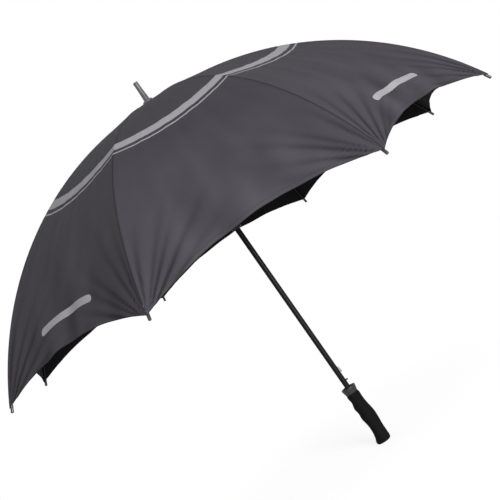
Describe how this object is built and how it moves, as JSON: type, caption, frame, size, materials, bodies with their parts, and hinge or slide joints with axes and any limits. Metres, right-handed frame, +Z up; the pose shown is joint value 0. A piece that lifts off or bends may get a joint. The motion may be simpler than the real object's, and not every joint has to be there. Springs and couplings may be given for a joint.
{
  "type": "golf umbrella",
  "caption": "Large stick umbrella with a domed cloth canopy on folding ribs, a spring-driven runner, a push-button catch and a foam handle.",
  "frame": {"origin": "centre of the handle's flat butt", "axes": "+Z up the shaft to the ferrule; +X towards the catch and push button"},
  "size_m": [1.2468, 1.2468, 0.995],
  "materials": {
    "canopy_cloth": "near-black charcoal satin-weave nylon",
    "shaft_fibreglass": "black lacquered fibreglass tube",
    "rib_fibreglass": "black fibreglass rod",
    "stretcher_steel": "black painted steel",
    "crown_plastic": "satin gunmetal grey moulding",
    "tip_plastic": "dark grey glossy moulding",
    "runner_plastic": "black moulded nylon",
    "bright_steel": "bare spring steel",
    "washer_rubber": "matt black rubber",
    "collar_plastic": "dark grey satin moulding",
    "grip_foam": "matt black closed-cell foam",
    "core_plastic": "black moulding, hidden"
  },
  "bodies": {
    "shaft_and_handle": {"shaft": "shaft_fibreglass", "ferrule": "crown_plastic", "top_washer": "washer_rubber", "top_notch": "runner_plastic", "notch_wire": "bright_steel", "notch_pin": "bright_steel", "main_spring": "bright_steel", "runner_stop_pin": "bright_steel", "catch_spring": "bright_steel", "handle_collar": "collar_plastic", "grip": "grip_foam", "handle_core": "core_plastic", "handle_pin": "bright_steel"},
    "runner_body": {"runner": "runner_plastic", "runner_wire": "bright_steel"},
    "catch_body": {"catch": "bright_steel"},
    "button_body": {"release_button": "runner_plastic"},
    "rib_inner_1": {"rib_inner_1": "rib_fibreglass", "canopy_gore_1": "canopy_cloth"},
    "rib_outer_1": {"rib_outer_1": "rib_fibreglass", "rib_tip_1": "tip_plastic"},
    "stretcher_1": {"stretcher_1": "stretcher_steel"},
    "rib_inner_2": {"rib_inner_2": "rib_fibreglass", "canopy_gore_2": "canopy_cloth"},
    "rib_outer_2": {"rib_outer_2": "rib_fibreglass", "rib_tip_2": "tip_plastic"},
    "stretcher_2": {"stretcher_2": "stretcher_steel"},
    "rib_inner_3": {"rib_inner_3": "rib_fibreglass", "canopy_gore_3": "canopy_cloth"},
    "rib_outer_3": {"rib_outer_3": "rib_fibreglass", "rib_tip_3": "tip_plastic"},
    "stretcher_3": {"stretcher_3": "stretcher_steel"},
    "rib_inner_4": {"rib_inner_4": "rib_fibreglass", "canopy_gore_4": "canopy_cloth"},
    "rib_outer_4": {"rib_outer_4": "rib_fibreglass", "rib_tip_4": "tip_plastic"},
    "stretcher_4": {"stretcher_4": "stretcher_steel"},
    "rib_inner_5": {"rib_inner_5": "rib_fibreglass", "canopy_gore_5": "canopy_cloth"},
    "rib_outer_5": {"rib_outer_5": "rib_fibreglass", "rib_tip_5": "tip_plastic"},
    "stretcher_5": {"stretcher_5": "stretcher_steel"},
    "rib_inner_6": {"rib_inner_6": "rib_fibreglass", "canopy_gore_6": "canopy_cloth"},
    "rib_outer_6": {"rib_outer_6": "rib_fibreglass", "rib_tip_6": "tip_plastic"},
    "stretcher_6": {"stretcher_6": "stretcher_steel"},
    "rib_inner_7": {"rib_inner_7": "rib_fibreglass", "canopy_gore_7": "canopy_cloth"},
    "rib_outer_7": {"rib_outer_7": "rib_fibreglass", "rib_tip_7": "tip_plastic"},
    "stretcher_7": {"stretcher_7": "stretcher_steel"},
    "rib_inner_8": {"rib_inner_8": "rib_fibreglass", "canopy_gore_8": "canopy_cloth"},
    "rib_outer_8": {"rib_outer_8": "rib_fibreglass", "rib_tip_8": "tip_plastic"},
    "stretcher_8": {"stretcher_8": "stretcher_steel"}
  },
  "joints": [
    {"name": "runner_slide", "type": "slide", "parent": "shaft_and_handle", "child": "runner_body", "axis": [0, 0, 1], "range_m": [-0.4189, 0], "stiffness_N_per_m": 60, "springref_m": 0.25, "deforming": ["main_spring", "canopy_gore_1", "canopy_gore_2", "canopy_gore_3", "canopy_gore_4", "canopy_gore_5", "canopy_gore_6", "canopy_gore_7", "canopy_gore_8"]},
    {"name": "button_press", "type": "slide", "parent": "shaft_and_handle", "child": "button_body", "axis": [1, 0, 0], "range_m": [-0.0045, 0], "stiffness_N_per_m": 800, "springref_m": 0.004, "deforming": ["catch_spring"]},
    {"name": "catch_slide", "type": "slide", "parent": "shaft_and_handle", "child": "catch_body", "axis": [1, 0, 0], "range_m": [-0.0046, 0.0001]},
    {"name": "rib_fold_1", "type": "hinge", "parent": "shaft_and_handle", "child": "rib_inner_1", "pos_m": [0.01346, -0.00386, 0.93067], "axis": [0.2756, 0.9613, 0], "range_deg": [-0.2, 74.4]},
    {"name": "rib_bow_1", "type": "hinge", "parent": "rib_inner_1", "child": "rib_outer_1", "pos_m": [0.31965, -0.09166, 0.85097], "axis": [0.2756, 0.9613, 0], "range_deg": [-29.2, 0.2]},
    {"name": "stretcher_swing_1", "type": "hinge", "parent": "rib_inner_1", "child": "stretcher_1", "pos_m": [0.31965, -0.09166, 0.85097], "axis": [0.2756, 0.9613, 0], "range_deg": [-129, 0.2]},
    {"name": "rib_fold_2", "type": "hinge", "parent": "shaft_and_handle", "child": "rib_inner_2", "pos_m": [0.01225, 0.00679, 0.93067], "axis": [-0.4848, 0.8746, 0], "range_deg": [-0.2, 74.4]},
    {"name": "rib_bow_2", "type": "hinge", "parent": "rib_inner_2", "child": "rib_outer_2", "pos_m": [0.29084, 0.16121, 0.85097], "axis": [-0.4848, 0.8746, 0], "range_deg": [-29.2, 0.2]},
    {"name": "stretcher_swing_2", "type": "hinge", "parent": "rib_inner_2", "child": "stretcher_2", "pos_m": [0.29084, 0.16121, 0.85097], "axis": [-0.4848, 0.8746, 0], "range_deg": [-129, 0.2]},
    {"name": "rib_fold_3", "type": "hinge", "parent": "shaft_and_handle", "child": "rib_inner_3", "pos_m": [0.00386, 0.01346, 0.93067], "axis": [-0.9613, 0.2756, 0], "range_deg": [-0.2, 74.4]},
    {"name": "rib_bow_3", "type": "hinge", "parent": "rib_inner_3", "child": "rib_outer_3", "pos_m": [0.09166, 0.31965, 0.85097], "axis": [-0.9613, 0.2756, 0], "range_deg": [-29.2, 0.2]},
    {"name": "stretcher_swing_3", "type": "hinge", "parent": "rib_inner_3", "child": "stretcher_3", "pos_m": [0.09166, 0.31965, 0.85097], "axis": [-0.9613, 0.2756, 0], "range_deg": [-129, 0.2]},
    {"name": "rib_fold_4", "type": "hinge", "parent": "shaft_and_handle", "child": "rib_inner_4", "pos_m": [-0.00679, 0.01225, 0.93067], "axis": [-0.8746, -0.4848, 0], "range_deg": [-0.2, 74.4]},
    {"name": "rib_bow_4", "type": "hinge", "parent": "rib_inner_4", "child": "rib_outer_4", "pos_m": [-0.16121, 0.29084, 0.85097], "axis": [-0.8746, -0.4848, 0], "range_deg": [-29.2, 0.2]},
    {"name": "stretcher_swing_4", "type": "hinge", "parent": "rib_inner_4", "child": "stretcher_4", "pos_m": [-0.16121, 0.29084, 0.85097], "axis": [-0.8746, -0.4848, 0], "range_deg": [-129, 0.2]},
    {"name": "rib_fold_5", "type": "hinge", "parent": "shaft_and_handle", "child": "rib_inner_5", "pos_m": [-0.01346, 0.00386, 0.93067], "axis": [-0.2756, -0.9613, 0], "range_deg": [-0.2, 74.4]},
    {"name": "rib_bow_5", "type": "hinge", "parent": "rib_inner_5", "child": "rib_outer_5", "pos_m": [-0.31965, 0.09166, 0.85097], "axis": [-0.2756, -0.9613, 0], "range_deg": [-29.2, 0.2]},
    {"name": "stretcher_swing_5", "type": "hinge", "parent": "rib_inner_5", "child": "stretcher_5", "pos_m": [-0.31965, 0.09166, 0.85097], "axis": [-0.2756, -0.9613, 0], "range_deg": [-129, 0.2]},
    {"name": "rib_fold_6", "type": "hinge", "parent": "shaft_and_handle", "child": "rib_inner_6", "pos_m": [-0.01225, -0.00679, 0.93067], "axis": [0.4848, -0.8746, 0], "range_deg": [-0.2, 74.4]},
    {"name": "rib_bow_6", "type": "hinge", "parent": "rib_inner_6", "child": "rib_outer_6", "pos_m": [-0.29084, -0.16121, 0.85097], "axis": [0.4848, -0.8746, 0], "range_deg": [-29.2, 0.2]},
    {"name": "stretcher_swing_6", "type": "hinge", "parent": "rib_inner_6", "child": "stretcher_6", "pos_m": [-0.29084, -0.16121, 0.85097], "axis": [0.4848, -0.8746, 0], "range_deg": [-129, 0.2]},
    {"name": "rib_fold_7", "type": "hinge", "parent": "shaft_and_handle", "child": "rib_inner_7", "pos_m": [-0.00386, -0.01346, 0.93067], "axis": [0.9613, -0.2756, 0], "range_deg": [-0.2, 74.4]},
    {"name": "rib_bow_7", "type": "hinge", "parent": "rib_inner_7", "child": "rib_outer_7", "pos_m": [-0.09166, -0.31965, 0.85097], "axis": [0.9613, -0.2756, 0], "range_deg": [-29.2, 0.2]},
    {"name": "stretcher_swing_7", "type": "hinge", "parent": "rib_inner_7", "child": "stretcher_7", "pos_m": [-0.09166, -0.31965, 0.85097], "axis": [0.9613, -0.2756, 0], "range_deg": [-129, 0.2]},
    {"name": "rib_fold_8", "type": "hinge", "parent": "shaft_and_handle", "child": "rib_inner_8", "pos_m": [0.00679, -0.01225, 0.93067], "axis": [0.8746, 0.4848, 0], "range_deg": [-0.2, 74.4]},
    {"name": "rib_bow_8", "type": "hinge", "parent": "rib_inner_8", "child": "rib_outer_8", "pos_m": [0.16121, -0.29084, 0.85097], "axis": [0.8746, 0.4848, 0], "range_deg": [-29.2, 0.2]},
    {"name": "stretcher_swing_8", "type": "hinge", "parent": "rib_inner_8", "child": "stretcher_8", "pos_m": [0.16121, -0.29084, 0.85097], "axis": [0.8746, 0.4848, 0], "range_deg": [-129, 0.2]}
  ],
  "couplings": [
    {"joint": "catch_slide", "follows": "button_press", "ratio": 1},
    {"joint": "rib_fold_1", "follows": "runner_slide", "rad_per_m": -3.0918},
    {"joint": "rib_bow_1", "follows": "runner_slide", "rad_per_m": 1.2109},
    {"joint": "stretcher_swing_1", "follows": "runner_slide", "rad_per_m": 5.3642},
    {"joint": "rib_fold_2", "follows": "runner_slide", "rad_per_m": -3.0918},
    {"joint": "rib_bow_2", "follows": "runner_slide", "rad_per_m": 1.2109},
    {"joint": "stretcher_swing_2", "follows": "runner_slide", "rad_per_m": 5.3642},
    {"joint": "rib_fold_3", "follows": "runner_slide", "rad_per_m": -3.0918},
    {"joint": "rib_bow_3", "follows": "runner_slide", "rad_per_m": 1.2109},
    {"joint": "stretcher_swing_3", "follows": "runner_slide", "rad_per_m": 5.3642},
    {"joint": "rib_fold_4", "follows": "runner_slide", "rad_per_m": -3.0918},
    {"joint": "rib_bow_4", "follows": "runner_slide", "rad_per_m": 1.2109},
    {"joint": "stretcher_swing_4", "follows": "runner_slide", "rad_per_m": 5.3642},
    {"joint": "rib_fold_5", "follows": "runner_slide", "rad_per_m": -3.0918},
    {"joint": "rib_bow_5", "follows": "runner_slide", "rad_per_m": 1.2109},
    {"joint": "stretcher_swing_5", "follows": "runner_slide", "rad_per_m": 5.3642},
    {"joint": "rib_fold_6", "follows": "runner_slide", "rad_per_m": -3.0918},
    {"joint": "rib_bow_6", "follows": "runner_slide", "rad_per_m": 1.2109},
    {"joint": "stretcher_swing_6", "follows": "runner_slide", "rad_per_m": 5.3642},
    {"joint": "rib_fold_7", "follows": "runner_slide", "rad_per_m": -3.0918},
    {"joint": "rib_bow_7", "follows": "runner_slide", "rad_per_m": 1.2109},
    {"joint": "stretcher_swing_7", "follows": "runner_slide", "rad_per_m": 5.3642},
    {"joint": "rib_fold_8", "follows": "runner_slide", "rad_per_m": -3.0918},
    {"joint": "rib_bow_8", "follows": "runner_slide", "rad_per_m": 1.2109},
    {"joint": "stretcher_swing_8", "follows": "runner_slide", "rad_per_m": 5.3642}
  ]
}
